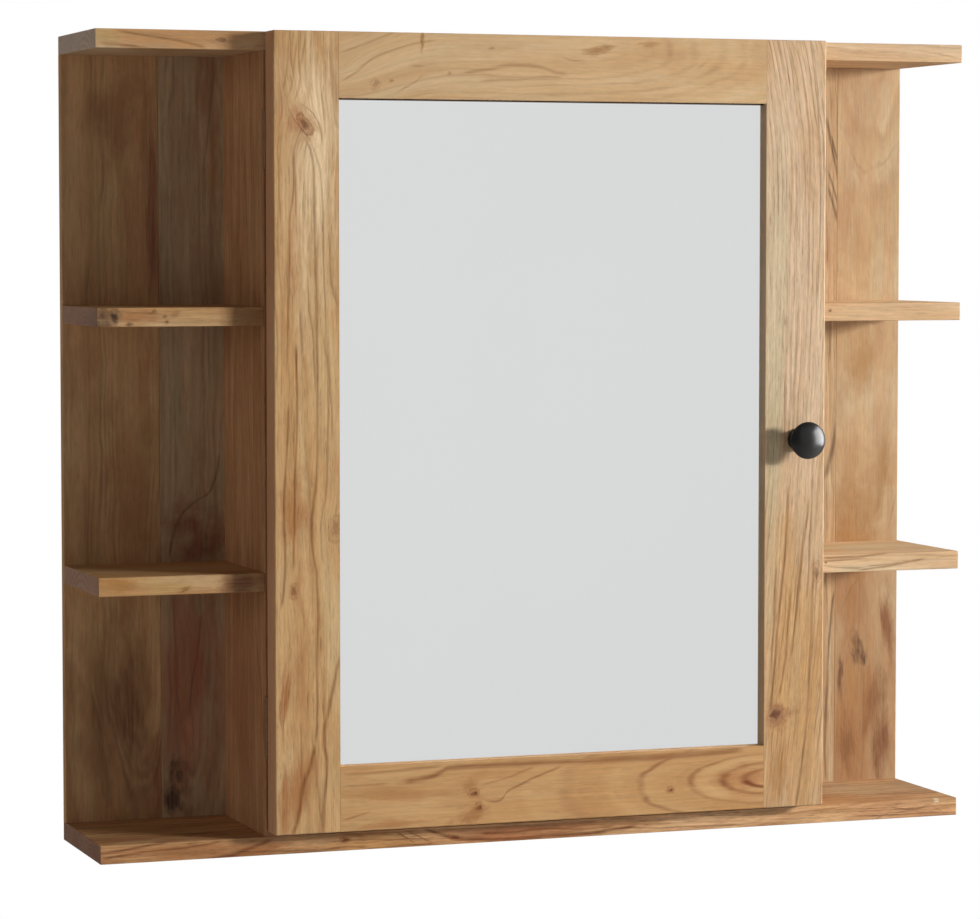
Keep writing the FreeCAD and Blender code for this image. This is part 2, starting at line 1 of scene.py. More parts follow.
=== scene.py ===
import math
import bpy
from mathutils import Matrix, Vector


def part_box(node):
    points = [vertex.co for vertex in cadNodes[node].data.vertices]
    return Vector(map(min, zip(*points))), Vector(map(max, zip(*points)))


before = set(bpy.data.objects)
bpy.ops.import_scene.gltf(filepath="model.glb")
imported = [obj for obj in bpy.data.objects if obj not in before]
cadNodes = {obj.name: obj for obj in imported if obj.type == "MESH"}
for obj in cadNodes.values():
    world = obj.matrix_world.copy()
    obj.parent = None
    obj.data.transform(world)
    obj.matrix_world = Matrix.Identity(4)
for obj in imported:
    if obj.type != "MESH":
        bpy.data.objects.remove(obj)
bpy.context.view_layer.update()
print("frame loaded,", len(cadNodes), "nodes")


# small helpers for building material nodes
def tint(code, stainAndLight=(1.0, 1.0, 1.0)):           # web colour to the linear values that the shader takes
    parts = [int(code[i:i + 2], 16) / 255 for i in (0, 2, 4)]
    linear = [p / 12.92 if p < 0.04045 else ((p + 0.055) / 1.055) ** 2.4 for p in parts]
    return [p * s for p, s in zip(linear, stainAndLight)] + [1.0]


def put(tree, kind, inputs=None, **settings):
    made = tree.nodes.new("ShaderNode" + kind)
    for key, value in settings.items():
        setattr(made, key, value)
    for key, value in (inputs or {}).items():
        if isinstance(value, bpy.types.NodeSocket):
            tree.links.new(value, made.inputs[key])
        else:
            made.inputs[key].default_value = value
    return made


def calc(tree, operation, *values):
    return put(tree, "Math", dict(enumerate(values)), operation=operation).outputs[0]


def product(tree, *values):
    total = values[0]
    for value in values[1:]:
        total = calc(tree, "MULTIPLY", total, value)
    return total


def vecCalc(tree, operation, *values):
    return put(tree, "VectorMath", dict(enumerate(values)), operation=operation).outputs[0]


def blend(tree, factor, first, second, kind="MIX"):
    return put(tree, "Mix", {0: factor, 6: first, 7: second}, data_type="RGBA", blend_type=kind).outputs[2]


def ease(tree, value, low, high, first=0.0, last=1.0):       # smooth step between two values
    steps = {0: value, 1: low, 2: high, 3: first, 4: last}
    return put(tree, "MapRange", steps, interpolation_type="SMOOTHSTEP").outputs[0]


def slide(tree, value, low, high, first=0.0, last=1.0):      # straight line between two values
    return put(tree, "MapRange", {0: value, 1: low, 2: high, 3: first, 4: last}).outputs[0]


seedSteps = {"place": (7.3, 3.1, 5.7), "band": 11.7}         # how far noise moves from one seed to the next


def grainNoise(tree, vector, scale, detail, rough, seed):
    start = [seed * step for step in seedSteps["place"]]
    moved = put(tree, "Mapping", {"Vector": vector, "Location": start, "Scale": scale})
    inputs = {"Vector": moved.outputs[0], "Scale": 1.0, "Detail": detail, "Roughness": rough}
    return put(tree, "TexNoise", inputs).outputs[0]


def bandNoise(tree, value, scale, detail, seed):             # noise along one number
    shifted = calc(tree, "ADD", value, seed * seedSteps["band"])
    inputs = {"W": shifted, "Scale": scale, "Detail": detail, "Roughness": 0.55}
    return put(tree, "TexNoise", inputs, noise_dimensions="1D").outputs[0]


def lengthOf(tree, vector):
    return put(tree, "VectorMath", {0: vector}, operation="LENGTH").outputs[1]


def ovalPlace(tree, vector, place, size, turn=0.0):          # place seen from an oval's middle, 1 at its rim
    inputs = {"Vector": vector, "Location": place, "Rotation": (0, 0, math.radians(turn)), "Scale": size}
    return put(tree, "Mapping", inputs, vector_type="TEXTURE").outputs[0]


def spot(tree, vector, place, size, turn=0.0):               # 1 in the middle of an oval, 0 at its rim
    local = ovalPlace(tree, vector, place, size, turn)
    return put(tree, "TexGradient", {0: local}, gradient_type="QUADRATIC_SPHERE").outputs[1]


def drawnLine(tree, along, points):                          # place across the board, by points along it
    points = sorted(points)
    (start, stop), sides = (points[0][0], points[-1][0]), [c for a, c in points]
    low, high = min(sides), max(max(sides), min(sides) + 0.1)
    share = slide(tree, along, start, stop)
    bend = put(tree, "FloatCurve", {1: share})
    curve = bend.mapping.curves[0]
    places = [((a - start) / (stop - start), (c - low) / (high - low)) for a, c in points]
    curve.points[0].location, curve.points[1].location = places[0], places[-1]
    for x, y in places[1:-1]:
        curve.points.new(x, y)
    bend.mapping.update()
    return share, calc(tree, "MULTIPLY_ADD", bend.outputs[0], high - low, low)


def freshMaterial(name):
    made = bpy.data.materials.new(name)
    made.use_nodes = True
    tree = made.node_tree
    tree.nodes.clear()
    shader = put(tree, "BsdfPrincipled")
    out = put(tree, "OutputMaterial")
    tree.links.new(shader.outputs[0], out.inputs[0])
    return made, tree, shader


def shaderOf(material):
    return next(piece for piece in material.node_tree.nodes if piece.type == "BSDF_PRINCIPLED")


def dress(material, *names):                                 # the mesh stays, the material is set
    for name in names:
        piece = cadNodes[name]
        if not piece.material_slots:
            piece.data.materials.append(material)
        for slot in piece.material_slots:
            slot.material = material


# the woods: two pale growths, broad bands, late-wood lines, heartwood, open pores, knots and end grain
honey = {"light": "C8A06F", "pale": "CBAE82", "band": "B98D5B", "line": "7C4C27",
         "heart": "A9754A", "pore": "54361F", "knot": "5A2E18", "end": "A58274"}
blush = {"light": "D8B48C", "pale": "D6BC98", "band": "CBA276", "line": "93663F",
         "heart": "BF9068", "pore": "6E4A2E", "knot": "5C3019", "end": "A2866C"}
russet = {"light": "BE9366", "pale": "C6A074", "band": "A97A4E", "line": "6A3C20",
          "heart": "935C38", "pore": "472817", "knot": "47230F", "end": "84665A"}
umber = {"light": "BC9268", "pale": "B79A6C", "band": "9F754C", "line": "64402A",
         "heart": "8F5C3A", "pore": "48301E", "knot": "452817", "end": "7E6450"}
slate = {"light": "A48A6C", "pale": "9C8A6C", "band": "8A6F55", "line": "554030",
         "heart": "80583E", "pore": "413023", "knot": "3C2A1D", "end": "75624F"}

# a board's lengths are in millimetres; lay names the axes along the grain, across it and through the board
plainBoard = {"tone": honey, "stainAndLight": (1, 1, 1), "seed": 1, "lay": "ZXY", "face": -162.5, "span": None,
              "pith": 0.0, "plunge": ((-400, 40), (400, 46)), "ring": 5.0, "wander": 7.0, "warp": 5.0,
              "lines": 0.4, "bands": 0.7, "hue": 0.8, "blotch": 0.3, "fibre": 0.4, "fleck": 0.22,
              "pores": 0.3, "arris": 0.35, "side": None,
              "drift": [],                                   # (along, across) points that the grain follows
              "bends": [],                                   # place, size, turn, push of the grain
              "hoops": [],                                   # radius round the pith, width, strength
              "veins": [],                                   # width, strength, (along, across) points
              "knots": [],                                   # place, size, turn, darkness, rim
              "patches": []}                                 # place, size, turn, colour, amount

# noise of all boards: scale along and across the grain per millimetre, detail, roughness, step of the seed
grainFields = {"sway": (0.0042, 0.017, 2.0, 0.5, 0), "fine": (0.02, 0.12, 3.0, 0.55, 1),
               "fibres": (0.016, 0.42, 4.0, 0.65, 2), "pores": (0.08, 1.0, 1.0, 0.5, 3),
               "blotch": (0.012, 0.035, 3.0, 0.6, 4), "waves": (0.013, 0.05, 2.0, 0.5, 5),
               "hue": (0.008, 0.06, 3.0, 0.6, 6), "broken": (0.014, 0.09, 2.0, 0.5, 7),
               "flecks": (0.09, 0.7, 3.0, 0.7, 9)}
fieldSteps = {"pores": (0.58, 0.72), "blotch": (0.46, 0.66), "hue": (0.42, 0.58), "broken": (0.44, 0.66)}
patchForm = {"scale": (1.5, 1.5, 0.5), "ragged": 1.9, "rim": (1.85, 1.0), "deep": 80.0}
knotForm = {"scale": (1.3, 1.3, 0.4), "ragged": 1.9, "calm": 1.4, "deep": 30.0,
            "halo": (1.25, 0.75), "haloDark": 0.55, "rimIn": (0.72, 0.92), "rimOut": (1.12, 0.98),
            "core": (0.7, 0.3), "coreDark": 0.85}
veinForm = {"shake": 3.2, "fade": 12.0, "depth": (9.0, 3.0)}
woodFinish = {"satin": (0.62, 0.46), "lineSatin": 0.06, "gloss": 0.1, "relief": 0.35, "reliefDepth": 0.0003,
              "endRings": 0.3, "endShare": 0.75, "sideShadeShare": 0.8,
              "rub": 0.2, "rubWidth": 2.0, "arrisWidth": 0.5}


def boardWood(node, changes):
    look = {**plainBoard, **changes}
    seed, face = look["seed"], look["face"]
    shades = {key: tint(code, look["stainAndLight"]) for key, code in look["tone"].items()}
    made, tree, shader = freshMaterial(node + "_wood")
    objectPlace = put(tree, "TexCoord").outputs["Object"]
    inMm = put(tree, "VectorMath", {0: objectPlace, 3: 1000.0}, operation="SCALE").outputs[0]
    axes = put(tree, "SeparateXYZ", {0: inMm}).outputs
    along, across, deep = [axes["XYZ".index(axis)] for axis in look["lay"]]
    board = put(tree, "CombineXYZ", {0: along, 1: across, 2: deep}).outputs[0]

    def field(name, vector):
        lengthwise, crosswise, detail, rough, step = grainFields[name]
        noise = grainNoise(tree, vector, (lengthwise, crosswise, crosswise), detail, rough, seed + step)
        return ease(tree, noise, *fieldSteps[name]) if name in fieldSteps else noise

    # the grain wanders, drifts along the board and flows round knots
    sway = calc(tree, "SUBTRACT", field("sway", board), 0.5)
    bent = calc(tree, "MULTIPLY_ADD", sway, look["wander"], across)
    swayed = put(tree, "CombineXYZ", {0: along, 1: bent, 2: deep}).outputs[0]
    if look["drift"]:
        bent = calc(tree, "SUBTRACT", bent, drawnLine(tree, along, look["drift"])[1])
    for place, size, turn, push in look["bends"]:
        bent = calc(tree, "MULTIPLY_ADD", spot(tree, board, (*place, face), (*size, 60.0), turn), push, bent)
    grain = put(tree, "CombineXYZ", {0: along, 1: bent, 2: deep}).outputs[0]

    # growth rings round a pith that comes nearer to the face or leaves it along the board
    (nearEnd, nearDepth), (farEnd, farDepth) = look["plunge"]
    pithDepth = slide(tree, along, nearEnd, farEnd, nearDepth, farDepth)
    belowPith = calc(tree, "SUBTRACT", calc(tree, "SUBTRACT", deep, face), pithDepth)
    fromPith = calc(tree, "SUBTRACT", bent, look["pith"])
    reach = lengthOf(tree, put(tree, "CombineXYZ", {0: fromPith, 1: belowPith}).outputs[0])
    fine = field("fine", grain)
    reach = calc(tree, "MULTIPLY_ADD", fine, 3.0, calc(tree, "SUBTRACT", reach, 1.5))
    waves = calc(tree, "SUBTRACT", field("waves", grain), 0.5)
    reach = calc(tree, "MULTIPLY_ADD", waves, look["warp"], reach)
    rings = calc(tree, "DIVIDE", reach, look["ring"])
    phase = calc(tree, "FRACT", rings)

    # fibres, pores and patchy tone run along the grain
    fibres, flecks, broken = field("fibres", grain), field("flecks", grain), field("broken", grain)
    pores = product(tree, field("pores", grain), ease(tree, fibres, 0.62, 0.42))
    uneven = slide(tree, fibres, 0.3, 0.6, 0.55, 1.0)

    # colour
    broad = ease(tree, bandNoise(tree, rings, 0.45, 2.0, seed), 0.38, 0.62)
    lateWood = product(tree, ease(tree, phase, 0.55, 0.93), ease(tree, phase, 1.0, 0.94), broken)
    colour = blend(tree, product(tree, field("hue", grain), look["hue"]), shades["light"], shades["pale"])
    colour = blend(tree, product(tree, broad, look["bands"]), colour, shades["band"])
    colour = blend(tree, product(tree, field("blotch", grain), look["blotch"]), colour, shades["heart"])
    for place, size, turn, shade, amount in look["patches"]:
        local = ovalPlace(tree, swayed, (*place, face)[:3], (*size, patchForm["deep"])[:3], turn)
        rough = grainNoise(tree, local, patchForm["scale"], 4.0, 0.6, seed + place[0])
        ragged = calc(tree, "MULTIPLY_ADD", rough, patchForm["ragged"], lengthOf(tree, local))
        area = ease(tree, ragged, *patchForm["rim"])
        colour = blend(tree, product(tree, area, amount, uneven), colour, tint(shade, look["stainAndLight"]))

    # dark lines: late wood, hoops round the pith, and veins drawn through listed points
    marks = product(tree, lateWood, look["lines"])
    for radius, width, strength in look["hoops"]:
        off = calc(tree, "ABSOLUTE", calc(tree, "SUBTRACT", reach, radius))
        gaps = slide(tree, broken, 0.0, 1.0, 0.45, 1.0)
        marks = calc(tree, "MAXIMUM", marks, product(tree, ease(tree, off, width, 0.0), strength, gaps))
    shake = veinForm["shake"]
    shaken = calc(tree, "MULTIPLY_ADD", fine, shake, calc(tree, "SUBTRACT", across, shake / 2))
    underFace = calc(tree, "ABSOLUTE", calc(tree, "SUBTRACT", deep, face))
    nearFace = ease(tree, underFace, *veinForm["depth"])
    for width, strength, points in look["veins"]:
        share, middle = drawnLine(tree, along, points)
        fade = veinForm["fade"] / abs(points[-1][0] - points[0][0])
        off = calc(tree, "ABSOLUTE", calc(tree, "SUBTRACT", shaken, middle))
        inside = product(tree, ease(tree, share, 0.0, fade), ease(tree, share, 1.0, 1.0 - fade), nearFace)
        gaps = slide(tree, fibres, 0.35, 0.65, 1.0, 0.6)
        mark = product(tree, ease(tree, off, width, 0.0), inside, strength, gaps)
        marks = calc(tree, "MAXIMUM", marks, mark)
    colour = blend(tree, marks, colour, shades["line"])

    # knots: a ragged dark rim, a reddish heart and a darker core
    for place, size, turn, dark, rimmed in look["knots"]:
        local = ovalPlace(tree, board, (*place, face), (*size, knotForm["deep"]), turn)
        rough = grainNoise(tree, local, knotForm["scale"], 3.0, 0.65, seed + 8)
        stir = knotForm["ragged"] - knotForm["calm"] * rimmed
        ragged = calc(tree, "MULTIPLY_ADD", rough, stir, lengthOf(tree, local))
        ragged = calc(tree, "SUBTRACT", ragged, stir / 2)
        halo = product(tree, ease(tree, ragged, *knotForm["halo"]), knotForm["haloDark"] * dark)
        rim = product(tree, ease(tree, ragged, *knotForm["rimIn"]), ease(tree, ragged, *knotForm["rimOut"]))
        core = product(tree, ease(tree, ragged, *knotForm["core"]), slide(tree, rough, 0.35, 0.65, 1.0, 0.5))
        colour = blend(tree, halo, colour, shades["heart"])
        colour = blend(tree, product(tree, rim, rimmed), colour, shades["line"])
        colour = blend(tree, product(tree, core, knotForm["coreDark"] * dark), colour, shades["knot"])
    streaks = slide(tree, fibres, 0.0, 1.0, 1.0 - look["fibre"], 1.0 + look["fibre"])
    specks = slide(tree, flecks, 0.0, 1.0, 1.0 - look["fleck"], 1.0 + look["fleck"])
    colour = blend(tree, 1.0, colour, product(tree, streaks, specks), "MULTIPLY")
    colour = blend(tree, product(tree, pores, look["pores"]), colour, shades["pore"])

    # end grain is duller, and edges are rubbed paler with a fine dark line at the arris
    facing = put(tree, "SeparateXYZ", {0: put(tree, "TexCoord").outputs["Normal"]}).outputs
    endFace = ease(tree, calc(tree, "ABSOLUTE", facing["XYZ".index(look["lay"][0])]), 0.6, 0.9)
    endRings = product(tree, ease(tree, phase, 0.2, 0.9), ease(tree, phase, 1.0, 0.94))
    endRings = product(tree, endRings, woodFinish["endRings"])
    endShade = blend(tree, endRings, shades["end"], shades["pore"])
    colour = blend(tree, product(tree, endFace, woodFinish["endShare"]), colour, endShade)
    # painted shade: faces turned to the left, away from the key lamp, take the darker side colour
    if look["side"]:
        sideFace = ease(tree, facing["XYZ".index(look["lay"][1])], -0.6, -0.9)
        sideShadeShare = product(tree, sideFace, uneven, woodFinish["sideShadeShare"])
        colour = blend(tree, sideShadeShare, colour, tint(look["side"], look["stainAndLight"]))
    low, high = look["span"] or [[1000 * v for v in corner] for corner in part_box(node)]
    middle = [(a + b) / 2 for a, b in zip(low, high)]
    half = [(b - a) / 2 for a, b in zip(low, high)]
    offset = vecCalc(tree, "ABSOLUTE", vecCalc(tree, "SUBTRACT", inMm, middle))
    room = put(tree, "SeparateXYZ", {0: vecCalc(tree, "SUBTRACT", half, offset)}).outputs
    nearPair, farPair = calc(tree, "MINIMUM", room[0], room[1]), calc(tree, "MAXIMUM", room[0], room[1])
    toEdge = calc(tree, "MAXIMUM", nearPair, calc(tree, "MINIMUM", farPair, room[2]))
    arris = woodFinish["arrisWidth"]
    rubbed = product(tree, ease(tree, toEdge, woodFinish["rubWidth"], arris), fibres, woodFinish["rub"])
    colour = blend(tree, rubbed, colour, shades["light"])
    colour = blend(tree, product(tree, ease(tree, toEdge, arris, 0.0), look["arris"]), colour, shades["pore"])

    satin = slide(tree, fibres, 0.0, 1.0, *woodFinish["satin"])
    satin = calc(tree, "MULTIPLY_ADD", marks, woodFinish["lineSatin"], satin)
    relief = calc(tree, "MULTIPLY_ADD", pores, -0.8, calc(tree, "MULTIPLY_ADD", marks, -0.3, fibres))
    bump = put(tree, "Bump", {"Height": relief, "Strength": woodFinish["relief"],
                              "Distance": woodFinish["reliefDepth"]})
    tree.links.new(colour, shader.inputs["Base Color"])
    tree.links.new(satin, shader.inputs["Roughness"])
    tree.links.new(bump.outputs[0], shader.inputs["Normal"])
    shader.inputs["Specular IOR Level"].default_value = woodFinish["gloss"]
    dress(made, node)


# door frame: stiles are placed by height and side, rails by side and height
doorBoards = {
    "door_stile_left": {
        "tone": honey, "lay": "ZXY", "pith": -190, "plunge": ((-330, 60), (350, 34)), "ring": 5.5,
        "seed": 3, "lines": 0.5, "stainAndLight": (1.17, 1.18, 1.19), "fibre": 0.26, "fleck": 0.28, "hue": 0.45,
        # side: painted shade on the stile's left face
        "blotch": 0.45, "side": "B07C5E",
        "bends": [((272, -226), (70, 34), -38, -9), ((-122, -238), (40, 14), 0, 4),
                  ((-70, -200), (45, 22), 0, 8)],
        "veins": [(3.0, 0.85, [(-335, -212), (-300, -211), (-270, -209), (-250, -211), (-225, -207),
                               (-205, -203), (-175, -196)]),
                  (3.6, 0.95, [(-335, -241), (-310, -233), (-290, -230), (-270, -223), (-250, -218)]),
                  (2.0, 0.75, [(-255, -219), (-230, -217), (-170, -217), (-140, -216), (-110, -217),
                               (-70, -222), (-50, -220), (-20, -217), (30, -216), (120, -217), (230, -219),
                               (262, -231)]),
                  (1.6, 0.5, [(-104, -207), (-72, -213), (-40, -209), (0, -207), (60, -207), (120, -209),
                              (220, -212), (245, -217), (262, -228)]),
                  (1.8, 0.85, [(-108, -237), (-60, -237), (-20, -236), (0, -235), (40, -234), (90, -236)]),
                  (2.0, 0.8, [(-140, -251), (-115, -246), (-90, -245), (-60, -246), (-35, -245), (0, -243),
                              (40, -241)]),
                  (1.8, 0.7, [(60, -243), (150, -241), (190, -240), (230, -236), (255, -237)]),
                  (1.3, 0.4, [(40, -249), (110, -247), (170, -250), (230, -249)]),
                  (1.5, 0.5, [(286, -240), (300, -232), (318, -230), (350, -224)]),
                  (1.5, 0.45, [(290, -246), (305, -237), (325, -235), (350, -232)]),
                  (1.4, 0.4, [(292, -251), (310, -243), (330, -241), (350, -240)]),
                  (1.6, 0.6, [(250, -211), (262, -212), (274, -215), (284, -223), (290, -233), (294, -243)]),
                  (1.6, 0.6, [(252, -217), (260, -223), (270, -232), (280, -238), (292, -242)])],
        "knots": [((271.5, -226.5), (10.5, 4.8), -38, 0.8, 0.5), ((-122, -237.5), (7, 4.2), 0, 0.7, 0.2),
                  ((-70, -200), (12, 7), 0, 0.5, 0.2)],
        "patches": [((-300, -247), (60, 9), 0, "96582C", 0.8), ((-295, -234), (70, 16), 8, "A0683A", 0.85),
                    ((-203, -244), (48, 7), 6, "94582E", 0.9), ((-55, -236), (44, 22), 0, "A26A3C", 0.8),
                    ((155, -236), (44, 9), 0, "A5683A", 0.8), ((-190, -232), (40, 6), 4, "A87648", 0.7),
                    ((-160, -204), (70, 16), 0, "CDAF80", 0.6), ((300, -247), (50, 9), 0, "A67A52", 0.5),
                    ((280, -214), (130, 30), 0, "E6CAA2", 0.9), ((240, -240), (130, 18), 0, "D6B488", 0.6),
                    ((190, -219), (130, 30), 0, "DEC298", 0.85), ((60, -212), (90, 20), 0, "CBAB7A", 0.6),
                    ((272, -228), (27, 17), -38, "AF7C54", 0.9)]},
    "door_stile_right": {
        "tone": blush, "lay": "ZXY", "pith": 330, "plunge": ((-330, 30), (350, 60)), "ring": 4.0, "seed": 8,
        "wander": 5.0, "stainAndLight": (0.97, 0.97, 0.97), "lines": 0.6, "fibre": 0.45, "fleck": 0.34,
        # side: painted shade on the stile's left face, inside the mirror opening
        "pores": 0.35, "hue": 0.4, "bands": 1.0, "side": "9C8265",
        "drift": [(-330, 0), (-240, 8), (-103, 19), (0, 25), (120, 28), (240, 27), (290, 22), (350, 11)],
        "veins": [(2.1, 0.8, [(-335, 227), (-280, 235), (-240, 239), (-200, 241), (-103, 244)]),
                  (2.5, 0.95, [(-250, 201), (-200, 207), (-150, 211), (-103, 216), (-40, 219)]),
                  (2.2, 0.9, [(-235, 209), (-210, 215), (-170, 219), (-130, 222)]),
                  (2.2, 0.9, [(-200, 222), (-150, 228), (-103, 233), (-50, 240)]),
                  (1.9, 0.85, [(-228, 203), (-195, 204), (-150, 206), (-110, 209)]),
                  (1.9, 0.7, [(-150, 236), (-120, 239), (-80, 241), (-30, 243)]),
                  (1.3, 0.5, [(-330, 211), (-290, 214), (-262, 218)]),
                  (1.5, 0.6, [(120, 246), (200, 249), (270, 247), (350, 240)]),
                  (1.5, 0.6, [(180, 237), (250, 238), (300, 234), (350, 219)]),
                  (1.4, 0.35, [(20, 224), (60, 221), (120, 224), (200, 226)])],
        "knots": [((-246, 209), (9, 7), 70, 0.9, 0.15), ((-120, 247), (9, 4.5), -5, 0.6, 0.2)],
        "patches": [((150, 230), (300, 60), 0, "DEC3A4", 0.8), ((130, 206), (280, 18), 0, "CFBB98", 0.85),
                    ((-230, 230), (220, 70), 0, "C89A62", 0.85), ((-248, 211), (18, 20), 0, "8E5632", 1.0),
                    ((-246, 208), (10, 12), 0, "6B3A22", 1.0), ((-20, 203), (170, 13), 0, "CDBE98", 0.8),
                    ((-150, 222), (60, 12), 4, "D3A874", 0.7), ((-300, 212), (60, 14), 5, "B27C46", 0.7),
                    ((250, 236), (60, 16), -4, "C79B70", 0.6)]},
    "door_rail_top": {
        "tone": blush, "lay": "XZY", "pith": 338, "plunge": ((22, 0), (196, 50)), "ring": 6.5, "seed": 5,
        "wander": 5.0, "lines": 0.12, "pores": 0.08, "fibre": 0.18, "fleck": 0.15, "hue": 0.5, "bands": 0.4,
        "warp": 9.0, "stainAndLight": (1.01, 1.0, 0.91), "span": ((-196.5, -162.5, 294), (196.5, -138.5, 350)),
        "bends": [((-196, 320), (110, 90), 0, 34)],
        "hoops": [(24.5, 1.8, 0.3), (31.5, 2.0, 0.25), (38.5, 2.2, 0.3), (44.5, 1.8, 0.22)],
        "veins": [(2.0, 0.5, [(-200, 304), (-180, 317), (-165, 328), (-150, 334), (-130, 340), (-105, 344)]),
                  (1.8, 0.45, [(-200, 330), (-178, 338), (-155, 347), (-140, 352)]),
                  (1.8, 0.5, [(-152, 296), (-136, 304), (-124, 312), (-117, 320)]),
                  (1.6, 0.45, [(-138, 318), (-126, 322), (-116, 320)]),
                  (3.0, 0.5, [(-92, 315), (-60, 321), (-40, 324), (-25, 324), (0, 318), (15, 316)]),
                  (2.2, 0.45, [(-75, 308), (-50, 311), (-35, 311), (-15, 314), (10, 313)]),
                  (1.8, 0.45, [(0, 337), (6, 331), (15, 328.5), (28, 329)]),
                  (1.8, 0.55, [(126, 323), (134, 326), (144, 335)])],
        "knots": [((-164, 306), (5, 5), 30, 0.4, 0.2), ((-150, 309), (2.2, 1.6), 0, 0.6, 0.2),
                  ((-60, 338), (3, 1.6), 0, 0.4, 0.2), ((-98, 316), (2, 2), 0, 0.4, 0.2)],
        "patches": [((-122.5, 344), (3.6, 13), 0, "94602F", 0.9), ((38, 338), (24, 6), 8, "95673A", 0.8),
                    ((86, 344), (15, 4), 4, "98683C", 0.7), ((100, 338), (60, 34), 0, "C19468", 0.6),
                    ((190, 330), (20, 40), 0, "B98F66", 0.5), ((150, 322), (70, 40), 0, "C79E70", 0.5)]},
    "door_rail_bottom": {
        "tone": {**honey, "line": "784324"}, "lay": "XZY", "pith": -303, "plunge": ((-96, 87), (205, 0)),
        "ring": 9.0, "seed": 12, "wander": 3.0, "lines": 0.1, "pores": 0.12, "fibre": 0.22, "fleck": 0.15,
        "hue": 0.3, "bands": 0.5, "stainAndLight": (1.08, 1.0, 0.92),
        "span": ((-196.5, -162.5, -329.5), (196.5, -138.5, -273.5)),
        "hoops": [(57.5, 3.4, 0.35), (36.8, 1.9, 0.6), (22.9, 1.7, 0.5), (14.2, 2.2, 0.7), (8.1, 2.2, 1.0)],
        "veins": [(4.2, 0.75, [(-145, -289), (-120, -287), (-105, -282), (-95, -279), (0, -279),
                               (100, -279), (180, -276)]),
                  (2.0, 0.5, [(-198, -280), (-150, -279), (-100, -277)]),
                  (1.6, 0.4, [(-198, -289), (-175, -290), (-145, -288)]),
                  (1.6, 0.5, [(-200, -321), (-182, -316), (-165, -312)]),
                  (2.0, 0.6, [(-70, -306), (-58, -310), (-52, -309), (-45, -302), (-30, -295), (-15, -289),
                              (10, -281)]),
                  (1.6, 0.4, [(-74, -296), (-50, -291), (-30, -285), (-15, -280)])],
        "knots": [((-76, -302), (5.6, 3.8), 0, 1.0, 0.2), ((-71.5, -314.5), (4.6, 4.4), 0, 0.9, 0.2),
                  ((107, -308.5), (4.4, 3), 0, 0.9, 0.2)],
        "patches": [((-80, -295), (16, 8), 10, "96693C", 0.6), ((-82, -322), (26, 14), 30, "96643A", 0.7),
                    ((-150, -300), (80, 10), -5, "A97A48", 0.6), ((-150, -326), (40, 6), 0, "A86C3C", 0.6),
                    ((176, -302), (30, 18), 0, "A66C42", 0.8), ((60, -276), (170, 4), 0, "B08A58", 0.5),
                    ((-120, -284), (60, 5), 0, "C4A06C", 0.5)]},
}
for name, look in doorBoards.items():
    boardWood(name, look)
beadLook = {"tone": umber, "face": -138.5, "ring": 4.0, "seed": 21}
for name, lay in (("left", "ZXY"), ("right", "ZXY"), ("top", "XZY"), ("bottom", "XZY")):
    boardWood("mirror_bead_" + name, {**beadLook, "lay": lay})
print("door frame dressed")

